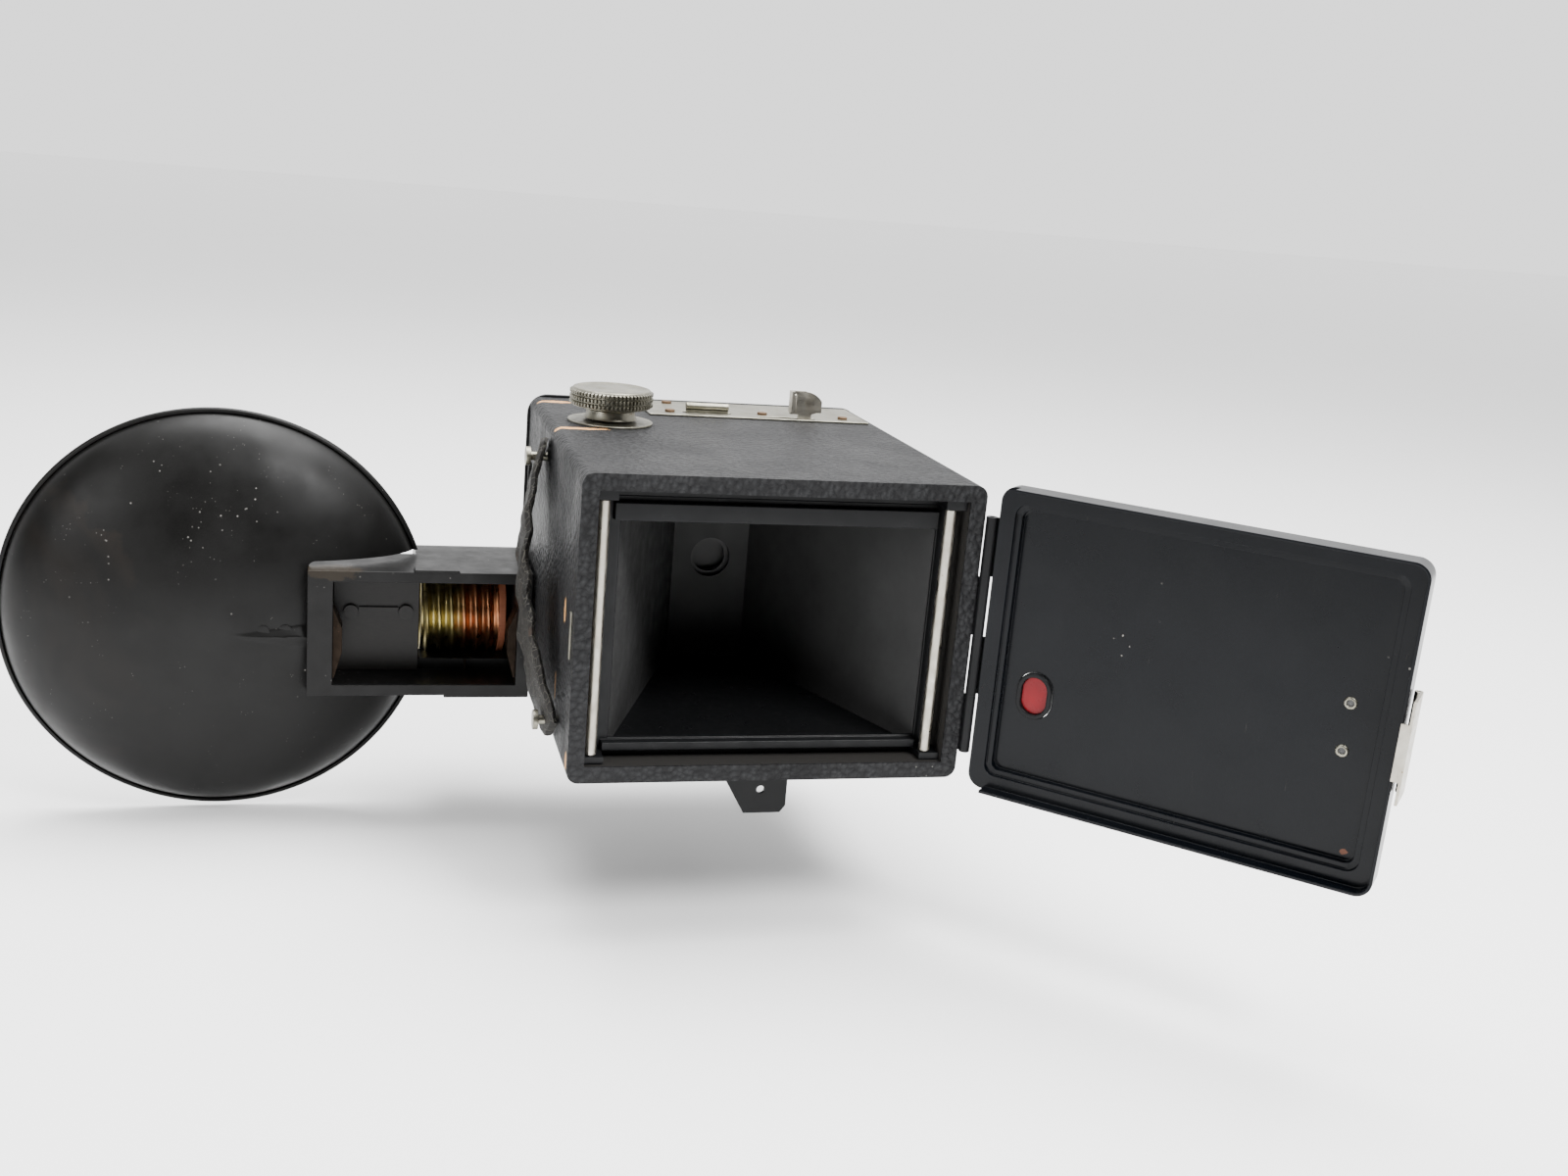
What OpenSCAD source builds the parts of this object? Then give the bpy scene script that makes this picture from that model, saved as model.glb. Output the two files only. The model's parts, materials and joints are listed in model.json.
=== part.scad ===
// Roll-film box camera, lying on its side with its back open, with a plug-in flash bulb gun.
// Origin: on the lens axis, at the outer face of the front plate.
// +Y is the shooting direction, +Z the winding-knob side, +X the camera's base (door hinge side).
// The gun plugs into the -X side and pulls off along -X.

/* [Camera body] */
// Width of the body along X
body_w = 104; // [102:0.5:126]
// Height of the body along Z
body_h = 79.5; // [78.5:0.5:96]
// Depth from the back rim to the outer face of the front plate
body_d = 115.6; // [114:0.2:140]
// Body wall, covering included
wall = 4.3; // [3.6:0.1:5.2]
// Thickness of the leather-grain covering
cover_t = 0.6; // [0.4:0.1:0.9]
// Offset of the body's middle from the lens axis along X
body_dx = -0.84; // [-1.5:0.02:0]
// Offset of the body's middle from the lens axis along Z
body_dz = 2.2; // [1.5:0.1:2.5]
// Rounding of the long edges of the body
edge_r = 3; // [1:0.5:4]

/* [Film path] */
// Width of the picture gate along X
gate_w = 83; // [80:0.5:84]
// Height of the picture gate along Z
gate_h = 57; // [54:0.5:58]
// Depth of the film plane behind the back rim
rim_to_film = 8.6; // [7:0.2:11]
// Radius of the guide rollers
roller_r = 1.5; // [1.2:0.1:1.8]
// Distance between the two roller axes
roller_gap = 89.7; // [88:0.1:91]
// Overall length of the film spool
spool_l = 64.8; // [62:0.1:66]
// Radius of the spool flanges
spool_r = 11.4; // [10:0.1:13.4]

/* [Door] */
// Sheet thickness of the door
door_t = 0.8; // [0.6:0.1:1]
// Depth of the door tray behind the back rim
door_d = 4.2; // [3.4:0.1:6]
// How far the door's lips reach over the body
lip_d = 3.5; // [2:0.5:5]
// Angle between the closed door and the door as it stands
door_open = 136; // [90:1:150]
// Radius of the hinge pin
pin_r = 0.7; // [0.6:0.05:0.85]

/* [Knob and controls] */
// Radius of the knurled knob head
knob_r = 11.8; // [9:0.1:14]
// Height of the knurled knob head
knob_h = 5.4; // [4:0.1:7]
// Radius of the winding key's shaft
key_r = 2; // [1.6:0.1:2.3]
// How far the knob pulls out
knob_pull = 5; // [4:0.5:6]
// Thickness of the metal strip round the controls
strip_t = 0.6; // [0.4:0.1:1]
// Travel of the lens stop slide
stop_travel = 7; // [5:0.5:8]
// Swing of the shutter lever
lever_swing = 10; // [6:1:10]

/* [Flash gun] */
// Length of the gun housing along X
gun_l = 62.9; // [60:0.1:70]
// Height of the gun housing along Z
gun_h = 37; // [36:0.5:40]
// Depth of the gun housing from its open back to the socket axis
gun_d = 30; // [28:0.5:34]
// Wall of the gun housing
gun_wall = 3.2; // [2.6:0.1:3.6]
// Depth of the battery compartment
cell_d = 15; // [14.6:0.1:17]
// Radius of the socket shell over its threads
shell_r = 13.9; // [13.2:0.1:14.3]
// Radius of the bore that takes the lamp cap
shell_bore_r = 12.45; // [12.2:0.05:12.6]
// Pitch of the socket thread
thread_pitch = 3.63; // [3:0.01:4]
// Number of thread turns in the socket shell
thread_turns = 6; // [5:1:6]

/* [Reflector] */
// Radius of the reflector bowl at its rim
bowl_r = 58.2; // [50:0.1:68]
// Depth factor of the bowl, the short half axis of its elliptical section
bowl_h = 24; // [18:0.5:28]
// Sheet thickness of the bowl
bowl_t = 0.8; // [0.6:0.1:1]
// Radius of the rolled rim bead
bead_r = 1.1; // [0.8:0.1:1.5]

/* [Hidden] */
$fn = 96;
e = 0.01;                                   // overrun of a cut past a face
fit_gap = 0.05;                             // radial clearance of a running fit
clear = 0.3;                                // clearance between pieces that do not touch

// Body box, its inside and the stations along Y
body_l = body_dx - body_w / 2;
body_rt = body_dx + body_w / 2;
body_top = body_dz + body_h / 2;
body_bot = body_dz - body_h / 2;
in_l = body_l + wall;
in_r = body_rt - wall;
in_top = body_top - wall;
in_bot = body_bot + wall;
rim_y = -body_d;                            // plane of the back rim
film_y = rim_y + rim_to_film;               // film plane
plate_t = 1.2;                              // sheet of the front plate
plate_r = 6;                                // corner radius of the front plate
plate_over = 0.8;                           // how far the front plate stands past the body
cone_y = -28.7;                             // front face of the film cone
mech_y = -26;                               // front face of the mechanism plate
mech_t = 1.2;
lever_y = -24.2;                            // middle plane of the shutter lever
lever_t = 1.2;
disc_y = -22.7;                             // middle plane of the shutter disc
stop_y = -20.7;                             // middle plane of the stop slide
plane_t = 0.8;                              // sheet of the disc and the slide

strap_n = 12;                               // points each way along the strap's bow
wire_x = -71.4;                             // lead wire in the battery compartment

// Film carrier
carrier_dx = -1.8;                          // middle of the two rollers from the lens axis
carrier_dz = 1.9;                           // middle of the spools and rollers
carrier_gap = spool_l + 1.4;                // distance between the two end boards
car_lo = carrier_dz - carrier_gap / 2;
car_hi = carrier_dz + carrier_gap / 2;
car_l = in_l + clear;
car_r = in_r - clear;
roller_y = rim_y + 3.8;
roller_pin_r = 0.8;
rail_d = 2.6;                               // how far the rails stand behind the film plane
rail_h = 4.6;
gate_t = 1;
cone_t = 1;
cone_front_w = 23;                          // inside width of the cone at its front
lens_hole_r = 6;
spool_x = -(gate_w / 2 - 6.66);
spool_y = -41.6;
spool_core_r = 3.8;
spool_flange_t = 0.9;
spool_lo = carrier_dz - spool_l / 2;
spool_hi = carrier_dz + spool_l / 2;
spool_pin_r = 1.5;
key_blade = [5.6, 1.2, 3];

// Door and hinge
lip_gap = 0.3;
door_dz = body_dz;
door_h = body_h + 2 * (lip_gap + door_t);
knuckle_r = pin_r + 0.75;
leaf_t = 0.5;
hinge_x = body_rt + knuckle_r + 0.1;
hinge_y = rim_y - 0.7;
door_right = body_rt - 0.6;
door_left = body_l - lip_gap - door_t;
door_w = door_right - door_left;
door_cx = (door_right + door_left) / 2;
door_corner_r = edge_r + lip_gap + door_t;   // the lips stay parallel to the body's corners
seat_y = rim_y - 0.2;
door_back_y = rim_y - door_d;
ledge_w = 4.2;
knuckle_l = 8;
knuckle_z = [-24, -8, 8, 24];
window_x = body_rt - 15;
window_z = body_dz - 13.2;
window_w = 7;
window_h = 10;
latch_z = body_dz - 2.5;
latch_l = 25;
latch_t = 0.7;
latch_pin_x = door_left - 1.3;
latch_pin_y = door_back_y + 1.2;

// Knob
bush_r = 4.6;
sleeve_r = key_r + 1.1;
flange_t = 0.6;
knob_gap = 0.3;
neck_r = 7.8;
neck_h = 3.6;
neck_z = body_top + flange_t + knob_gap;
head_z = neck_z + neck_h;
knob_top = head_z + knob_h;

// Controls on the +Z face
strip_x = [-20.8, 47.2];
strip_y = [-26.6, -plate_t - 0.4];
screw_at = [[-13.8, -21.6], [15.2, -19.6], [40.2, -21.6], [-11.8, -5.6]];
screw_r = 1.5;
tab_x = [-8.8, 4.2];
lever_x = 27.2;
lever_pivot_z = -8;                         // below the lens axis, for a long arm
lever_stem_w = 4;
lever_head_h = 6.4;
lever_slot = [-14, 3.4];                    // slot ends, from the lever's middle
lever_head_z = 2.6;                         // underside of the finger piece above the body
disc_ratio = 8;                             // turn of the disc for each degree of the lever
disc_at = [12, -8];
disc_r = 20;
pivot_r = 1.5;

// Strap on the -X face
strap_w = 21;
strap_t = 2.2;
strap_bow = 6.5;
strap_tilt = 35;                            // the lower end stands nearer the back rim
strap_at = [-69, 1.5];
strap_half = 41;
stud_r = 2.6;
stud_shank_r = 1.2;

// Stand foot on the -Z face
foot_x = 0;
foot_y = -102;
foot_w = 17.6;
foot_l = 13.4;
foot_t = 1;

// Finders: [X of the middle, Z of the middle] of each box
finder_s = 17;
finder_t = 0.8;
finder_y = -19.4;
finder_top = [in_l + finder_s / 2, 17];
finder_side = [28, in_bot + finder_s / 2];
finder_lens_r = 6;

// Flash gun
gun_gap = 1;
gun_z = -22.8;
axis_y = -7.6;
gun_x1 = body_l - gun_gap;
gun_x0 = gun_x1 - gun_l;
gun_lo = gun_z - gun_h / 2;
gun_hi = gun_z + gun_h / 2;
gun_back = axis_y - gun_d;
barrel_r = gun_h / 2;
end_wall_l = 7;
end_wall_r = 3.9;
cell_x0 = gun_x0 + end_wall_l;
cell_x1 = gun_x1 - end_wall_r;
cell_y1 = gun_back + cell_d;
shell_l = thread_pitch * thread_turns + 1.2;
insul_t = 2;
shell_x1 = cell_x1 - 3.8;
contact_stand = 3;                          // how far the centre contact stands into the shell
contact_head_r = 3.4;
shell_base_l = contact_stand + clear;       // wider base of the shell, round the contact
shell_base_r = shell_bore_r + 0.35;
shell_x0 = shell_x1 - shell_l;
barrel_x0 = shell_x0 - 1.8;
trough_y = -16;
bulb_r = 15.4;
cell_plate_t = 1.6;
rivet_r = 2.1;
prong_r = 1.5;
prong_y = [-21, -9];
prong_in = 8;
bush_end = body_l + prong_in + 1.2;         // inner end of the camera's contact bushes
contact_r = 2;
contact_travel = 1;

// Reflector
bowl_x = gun_x0 - 25.3;
bowl_axis = bowl_r + 0.4;
bowl_vertex_y = gun_back + 1.4;
notch_gap = 0.9;
notch_x = gun_x0 - notch_gap;
bowl_steps = 14;
function bowl_y(r) = bowl_vertex_y + bowl_h * (1 - sqrt(1 - pow(r / bowl_axis, 2)));
function bowl_pt(i) = let (r = bowl_r * sin(90 * i / bowl_steps)) [r, bowl_y(r)];

// ---------- helpers ----------
module box(lo, hi) translate(lo) cube(hi - lo);
// Extrudes a flat (X, Z) shape from Y = y0 to y1
module along_y(y0, y1) translate([0, y1, 0]) rotate([90, 0, 0]) linear_extrude(y1 - y0) children();
// Extrudes a flat (Y, Z) shape from X = x0 to x1
module along_x(x0, x1) translate([x0, 0, 0]) rotate([90, 0, 90]) linear_extrude(x1 - x0) children();
// Extrudes a flat (X, Y) shape from Z = z0 to z1
module along_z(z0, z1) translate([0, 0, z0]) linear_extrude(z1 - z0) children();
// Round bars on the three axes, through a point of the cross plane
module bar_x(at, r, x0, x1) translate([x0, at[0], at[1]]) rotate([0, 90, 0]) cylinder(r = r, h = x1 - x0);
module bar_y(at, r, y0, y1) translate([at[0], y1, at[1]]) rotate([90, 0, 0]) cylinder(r = r, h = y1 - y0);
module bar_z(at, r, z0, z1) translate([at[0], at[1], z0]) cylinder(r = r, h = z1 - z0);
// Rectangle with round corners, centred
module rrect(w, h, r) {
    square([w - 2 * r, h], center = true);
    square([w, h - 2 * r], center = true);
    for (sx = [-1, 1], sy = [-1, 1]) translate([sx * (w / 2 - r), sy * (h / 2 - r)]) circle(r = r);
}
module body_at() translate([body_dx, body_dz]) children();

// ---------- camera case ----------
// Every hole through the case walls, shared by the case and its covering
module wall_holes() {
    bar_z([spool_x, spool_y], bush_r, in_top - 1, body_top + 1);
    box([tab_x[0] - 1, stop_y - 1.2, in_top - 1], [tab_x[1] + 1, stop_y + 1.2, body_top + 1]);
    box([lever_x + lever_slot[0], lever_y - 1.2, in_top - 1],
        [lever_x + lever_slot[1], lever_y + 1.2, body_top + 1]);
    for (y = prong_y) bar_x([y, gun_z], 3, body_l - 1, in_l + 1);
    translate([0, finder_y + 2.2, 0]) {
        box([body_l - 1, 0, finder_top[1] - 6.5], [in_l + 1, 13, finder_top[1] + 6.5]);
        box([finder_side[0] - 6.5, 0, body_bot - 1], [finder_side[0] + 6.5, 13, in_bot + 1]);
    }
}
module body_case() color("saddlebrown") difference() {
    along_y(rim_y + cover_t, -plate_t) body_at()
        rrect(body_w - 2 * cover_t, body_h - 2 * cover_t, edge_r - cover_t / 2);
    along_y(rim_y - 1, 0) body_at() square([body_w - 2 * wall, body_h - 2 * wall], center = true);
    wall_holes();
}
module body_covering() color("dimgray") difference() {
    along_y(rim_y, -plate_t) body_at() rrect(body_w, body_h, edge_r);
    along_y(rim_y + cover_t, 0) body_at()
        rrect(body_w - 2 * cover_t, body_h - 2 * cover_t, edge_r - cover_t / 2);
    along_y(rim_y - 1, 0) body_at() square([body_w - 2 * wall, body_h - 2 * wall], center = true);
    wall_holes();
}

// ---------- front ----------
module front_plate() color([0.05, 0.05, 0.05]) difference() {
    union() {
        along_y(-plate_t, 0) body_at()
            rrect(body_w + 2 * plate_over, body_h + 2 * plate_over, plate_r);
        // raised panel round the lens
        bar_y([0, 0], 19, 0, 0.8);
    }
    bar_y([0, 0], 11, -plate_t - 1, 2);
    for (f = [finder_top, finder_side]) bar_y([f[0], f[1]], finder_lens_r, -plate_t - 1, 1);
}
module lens_ring() color("silver") difference() {
    union() {
        bar_y([0, 0], 11 - fit_gap, -3, 0.8);
        bar_y([0, 0], 13.5, 0.8, 2.2);
    }
    bar_y([0, 0], 9, -4, 3);
}
module lens_barrel() color([0.08, 0.08, 0.08]) difference() {
    bar_y([0, 0], 11, -18.6, -3.05);
    bar_y([0, 0], 8.05, -17.4, 0);
    bar_y([0, 0], 4.6, -20, 0);
}
// Meniscus: two shallow dished faces on one round edge
module lens_glass() color([0.8, 0.9, 0.95, 0.4]) translate([0, -13, 0]) difference() {
    bar_y([0, 0], 8, -4.35, 0.4);
    translate([0, 26.6, 0]) sphere(r = 27);
    translate([0, -28, 0]) difference() {
        bar_y([0, 0], 12, 10, 40);
        sphere(r = 28);
    }
    translate([0, -5.2, 0]) cube([30, 2.6, 30], center = true);
}

// A finder: a sheet box behind a front lens, with a mirror that throws the view out of one side
module finder_shell(at) difference() {
    box([at[0] - finder_s / 2, finder_y, at[1] - finder_s / 2],
        [at[0] + finder_s / 2, -plate_t, at[1] + finder_s / 2]);
    box([at[0] - finder_s / 2 + finder_t, finder_y + finder_t, at[1] - finder_s / 2 + finder_t],
        [at[0] + finder_s / 2 - finder_t, 0, at[1] + finder_s / 2 - finder_t]);
    translate([at[0], finder_y + 8.7, at[1]]) children();
}
module finder_boxes() color([0.1, 0.1, 0.1]) {
    finder_shell(finder_top) translate([-finder_s / 2, 0, 0]) cube([3, 13, 13], center = true);
    finder_shell(finder_side) translate([0, 0, -finder_s / 2]) cube([13, 13, 3], center = true);
}
module finder_lenses() color([0.8, 0.9, 0.95, 0.4])
    for (f = [finder_top, finder_side]) {
        bar_y(f, finder_lens_r - 0.1, -plate_t - 0.6, 0);
        bar_y(f, finder_lens_r - 0.9, 0, 0.5);
    }
// Flat glass at 45 degrees across a finder box
module mirror_sheet() rotate([0, 0, 45]) cube([0.8, 17, 13], center = true);
module finder_mirrors() color("lightsteelblue") {
    translate([finder_top[0] + 0.6, finder_y + 8.6, finder_top[1]]) mirror_sheet();
    translate([finder_side[0], finder_y + 8.6, finder_side[1] + 0.6]) rotate([0, 90, 0]) mirror_sheet();
}
module finder_screens() color([0.85, 0.87, 0.85, 0.6]) {
    box([body_l + 1, finder_y + 2.3, finder_top[1] - 6.4],
        [body_l + 2.2, finder_y + 15.1, finder_top[1] + 6.4]);
    box([finder_side[0] - 6.4, finder_y + 2.3, body_bot + 1],
        [finder_side[0] + 6.4, finder_y + 15.1, body_bot + 2.2]);
}

// ---------- shutter and stop ----------
module mechanism_plate() color("darkslategray") difference() {
    along_y(mech_y - mech_t, mech_y) body_at()
        square([body_w - 2 * wall, body_h - 2 * wall], center = true);
    bar_y([0, 0], 5, mech_y - 3, mech_y + 1);
    for (p = [disc_at, [lever_x, lever_pivot_z]]) bar_y(p, pivot_r - 0.5, mech_y - 3, mech_y + 1);
}
module pivot_pins() color("goldenrod") {
    bar_y([lever_x, lever_pivot_z], pivot_r - 0.5, mech_y - mech_t, mech_y);
    bar_y([lever_x, lever_pivot_z], pivot_r, mech_y, lever_y + lever_t / 2 + 0.2);
    bar_y(disc_at, pivot_r - 0.5, mech_y - mech_t, mech_y);
    bar_y(disc_at, pivot_r, mech_y, disc_y + plane_t / 2 + 0.2);
}
module shutter_disc() color("gray") difference() {
    bar_y(disc_at, disc_r, disc_y - plane_t / 2, disc_y + plane_t / 2);
    bar_y(disc_at, pivot_r + fit_gap, disc_y - 2, disc_y + 2);
    // the exposing hole stands half a swing away from the lens axis
    translate([disc_at[0], 0, disc_at[1]]) rotate([0, -lever_swing * disc_ratio / 2, 0])
        translate([-disc_at[0], 0, -disc_at[1]]) bar_y([0, 0], 5, disc_y - 2, disc_y + 2);
}
module shutter_lever() color("silver") difference() {
    union() {
        bar_y([lever_x, lever_pivot_z], 4, lever_y - lever_t / 2, lever_y + lever_t / 2);
        box([lever_x - lever_stem_w / 2, lever_y - lever_t / 2, lever_pivot_z],
            [lever_x + lever_stem_w / 2, lever_y + lever_t / 2, body_top + lever_head_z + 1]);
        // finger piece: a broad plate with one round shoulder, and a turned-back edge
        along_y(lever_y - lever_t / 2, lever_y + lever_t / 2)
            translate([lever_x - 5, body_top + lever_head_z]) {
                square([5, lever_head_h]);
                translate([4.9, 0]) intersection() {
                    circle(r = lever_head_h - 0.2);
                    square([5.2, lever_head_h - 0.2]);
                }
            }
        box([lever_x - 5, lever_y - 2.8, body_top + lever_head_z],
            [lever_x - 4.1, lever_y, body_top + lever_head_z + lever_head_h]);
    }
    bar_y([lever_x, lever_pivot_z], pivot_r + fit_gap, lever_y - 2, lever_y + 2);
}
module stop_slide() color("gray") difference() {
    box([tab_x[0], stop_y - plane_t / 2, -19], [tab_x[1], stop_y + plane_t / 2, body_top - 2]);
    // two stops, one above the other at the slide's travel
    for (i = [0, 1]) bar_y([0, -i * stop_travel], 3.8 - 1.4 * i, stop_y - 1, stop_y + 1);
}
module stop_tab() color([0.6, 0.6, 0.52]) {
    box([tab_x[0], stop_y - plane_t / 2, body_top - 2], [tab_x[1], stop_y + plane_t / 2, body_top + 1.8]);
    // rolled finger edge
    bar_x([stop_y, body_top + 2.4], 1.1, tab_x[0], tab_x[1]);
}

module control_strip() color("darkkhaki") difference() {
    box([strip_x[0], strip_y[0], body_top], [strip_x[1], strip_y[1], body_top + strip_t]);
    box([tab_x[0] - 1, stop_y - 1.2, body_top - 1], [tab_x[1] + 1, stop_y + 1.2, body_top + 2]);
    box([lever_x + lever_slot[0], lever_y - 1.2, body_top - 1],
        [lever_x + lever_slot[1], lever_y + 1.2, body_top + 2]);
}
module strip_screws() color("sienna") for (s = screw_at) difference() {
    bar_z(s, screw_r, body_top + strip_t, body_top + strip_t + 0.6);
    translate([s[0], s[1], body_top + strip_t + 0.6]) cube([4, 0.5, 0.5], center = true);
}

// ---------- winding ----------
module knob_bush() color("silver") difference() {
    union() {
        bar_z([spool_x, spool_y], knob_r + 0.2, body_top, body_top + flange_t);
        bar_z([spool_x, spool_y], bush_r - fit_gap, in_top, body_top);
    }
    bar_z([spool_x, spool_y], sleeve_r + fit_gap, in_top - 1, body_top + 2);
}
module knob_sleeve() color("goldenrod") difference() {
    bar_z([spool_x, spool_y], sleeve_r, car_hi + 0.2, neck_z);
    bar_z([spool_x, spool_y], key_r + fit_gap, car_hi - 1, neck_z + 1);
}
// One ring of the knurl, a ridge between two grooves
module knurl_ring(z) translate([0, 0, z]) rotate_extrude()
    polygon([[knob_r - 2, 0], [knob_r - 0.6, 0], [knob_r, 0.5], [knob_r, 1.1], [knob_r - 0.6, 1.6],
             [knob_r - 2, 1.6]]);
module winding_knob() color("silver") translate([spool_x, spool_y, 0]) difference() {
    union() {
        cylinder_between(neck_r, neck_z, head_z);
        cylinder_between(knob_r - 0.9, head_z, knob_top);
        for (i = [0 : 2]) knurl_ring(head_z + 0.25 + i * 1.65);
    }
    translate([0, 0, neck_z - e]) cylinder(r = key_r, h = neck_h + 2);
}
module cylinder_between(r, z0, z1) translate([0, 0, z0]) cylinder(r = r, h = z1 - z0);
module winding_key() color("silver") {
    bar_z([spool_x, spool_y], key_r, spool_hi, head_z + 2 - e);
    translate([spool_x, spool_y, spool_hi - key_blade[2] / 2]) cube(key_blade, center = true);
}
module take_up_spool() color([0.12, 0.12, 0.12]) translate([spool_x, spool_y, 0]) difference() {
    union() {
        cylinder_between(spool_core_r, spool_lo, spool_hi);
        cylinder_between(spool_r, spool_lo, spool_lo + spool_flange_t);
        cylinder_between(spool_r, spool_hi - spool_flange_t, spool_hi);
    }
    cylinder_between(spool_pin_r + fit_gap, spool_lo - 1, spool_lo + 4);
    translate([0, 0, spool_hi - key_blade[2] / 2])
        cube([key_blade[0] + 0.6, key_blade[1] + 0.5, key_blade[2] + 0.6], center = true);
}

// ---------- film carrier ----------
module end_board(z0, z1) difference() {
    box([car_l, roller_y - roller_r - 0.6, z0], [car_r, cone_y, z1]);
    // room for the film between the rollers
    box([-gate_w / 2 - 2, roller_y - 5, z0 - 1], [gate_w / 2 - 0.4, film_y, z1 + 1]);
    for (s = [-1, 1])
        bar_z([carrier_dx + s * roller_gap / 2, roller_y], roller_pin_r + fit_gap, z0 - 1, z1 + 1);
    children();
}
module carrier_top_board() color([0.14, 0.14, 0.14]) end_board(car_hi, in_top - clear) {
    bar_z([spool_x, spool_y], sleeve_r + clear, car_hi - 1, in_top + 1);
}
module carrier_bottom_board() color([0.14, 0.14, 0.14]) end_board(in_bot + clear, car_lo) {
    bar_z([spool_x, spool_y], spool_pin_r, in_bot, car_lo + 1);
    bar_z([-spool_x, spool_y], spool_pin_r, in_bot, car_lo + 1);
}
module spool_pins() color("silver") for (x = [spool_x, -spool_x])
    bar_z([x, spool_y], spool_pin_r, in_bot + clear, spool_lo + 3);
module film_cone() color([0.07, 0.07, 0.07]) difference() {
    along_z(car_lo, car_hi) polygon([
        [-gate_w / 2 - cone_t, film_y + gate_t], [-gate_w / 2, film_y + gate_t],
        [-cone_front_w / 2, cone_y - cone_t], [cone_front_w / 2, cone_y - cone_t],
        [gate_w / 2, film_y + gate_t], [gate_w / 2 + cone_t, film_y + gate_t],
        [cone_front_w / 2 + cone_t, cone_y], [-cone_front_w / 2 - cone_t, cone_y]]);
    bar_y([0, 0], lens_hole_r, cone_y - 3, cone_y + 1);
}
module gate_frame() color([0.1, 0.1, 0.1]) difference() {
    union() {
        box([car_l, film_y, car_lo], [car_r, film_y + gate_t, car_hi]);
        // rails that carry the film past the gate
        box([-gate_w / 2 - 2, film_y - rail_d, gate_h / 2 + 0.5],
            [gate_w / 2 - 0.4, film_y, gate_h / 2 + 0.5 + rail_h]);
        box([-gate_w / 2 - 2, film_y - rail_d, car_lo], [gate_w / 2 - 0.4, film_y, -gate_h / 2 - 0.5]);
    }
    box([-gate_w / 2, film_y - 5, -gate_h / 2], [gate_w / 2, film_y + 5, gate_h / 2]);
}
module roller(side) translate([carrier_dx + side * roller_gap / 2, roller_y, 0]) {
    cylinder_between(roller_r, car_lo + 0.3, car_hi - 0.3);
    cylinder_between(roller_pin_r, car_lo - 1.2, car_hi + 1.2);
}
module roller_left() color("silver") roller(-1);
module roller_right() color("silver") roller(1);

// ---------- door ----------
// Turns closed-door coordinates to the door as it stands
module opened() translate([hinge_x, hinge_y, 0]) rotate([0, 0, door_open])
    translate([-hinge_x, -hinge_y, 0]) children();
module door_at() translate([door_cx, door_dz]) children();
module door_tray() difference() {
    along_y(door_back_y, rim_y + lip_d) door_at() rrect(door_w, door_h, door_corner_r);
    // the body stands in the lips
    along_y(seat_y, rim_y + lip_d + 1) door_at()
        rrect(door_w - 2 * door_t, door_h - 2 * door_t, door_corner_r - door_t);
    // recessed panel in two steps
    along_y(seat_y - 1.2, seat_y + 1) door_at()
        rrect(door_w - 2 * ledge_w, door_h - 2 * ledge_w, door_corner_r - 1);
    along_y(door_back_y + door_t, seat_y + 1) door_at()
        rrect(door_w - 2 * ledge_w - 3, door_h - 2 * ledge_w - 3, door_corner_r - 2);
    // no lip on the hinge side
    box([door_right - door_t - 4, seat_y, door_dz - door_h], [door_right + 5, rim_y + lip_d + 1, door_dz + door_h]);
    window_hole(0.1);
    for (z = rivet_zs()) bar_y([latch_rivet_x(), z], 1.2, door_back_y - 1, door_back_y + 3);
}
function rivet_zs() = [latch_z - 6, latch_z + 6];
function latch_rivet_x() = door_left + 13;
module oval(w, h) {
    square([w, h - w], center = true);
    for (s = [-1, 1]) translate([0, s * (h - w) / 2]) circle(d = w);
}
module window_hole(extra) along_y(door_back_y - 2, door_back_y + 3) translate([window_x, window_z])
    oval(window_w + 2.4 + 2 * extra, window_h + 2.4 + 2 * extra);
module back_door() color([0.06, 0.07, 0.1]) opened() door_tray();
module door_covering() color("dimgray") opened() difference() {
    along_y(door_back_y - cover_t, door_back_y) door_at() rrect(door_w - 6, door_h - 6, 4);
    window_hole(0.5);
    for (z = rivet_zs()) bar_y([latch_rivet_x(), z], 2.6, door_back_y - 2, door_back_y + 1);
}
module window_ring() color([0.05, 0.05, 0.05]) opened() difference() {
    along_y(door_back_y - 1, door_back_y + door_t + 1) translate([window_x, window_z])
        oval(window_w + 2.4, window_h + 2.4);
    along_y(door_back_y - 2, door_back_y + 3) translate([window_x, window_z]) oval(window_w, window_h);
}
module red_window() color([0.7, 0.05, 0.1, 0.8]) opened()
    along_y(door_back_y + 0.1, door_back_y + door_t - 0.1) translate([window_x, window_z])
        oval(window_w, window_h);
module knuckles(indices, bore) difference() {
    union() for (i = indices)
        bar_z([hinge_x, hinge_y], knuckle_r, door_dz + knuckle_z[i] - knuckle_l + 0.15,
              door_dz + knuckle_z[i] + knuckle_l - 0.15);
    bar_z([hinge_x, hinge_y], bore, body_bot - 1, body_top + 1);
}
module hinge_leaf() color([0.08, 0.08, 0.08]) {
    knuckles([0, 2], pin_r);
    for (i = [0, 2])
        box([body_rt, hinge_y + pin_r, door_dz + knuckle_z[i] - knuckle_l + 0.15],
            [body_rt + leaf_t, rim_y + 9, door_dz + knuckle_z[i] + knuckle_l - 0.15]);
}
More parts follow.
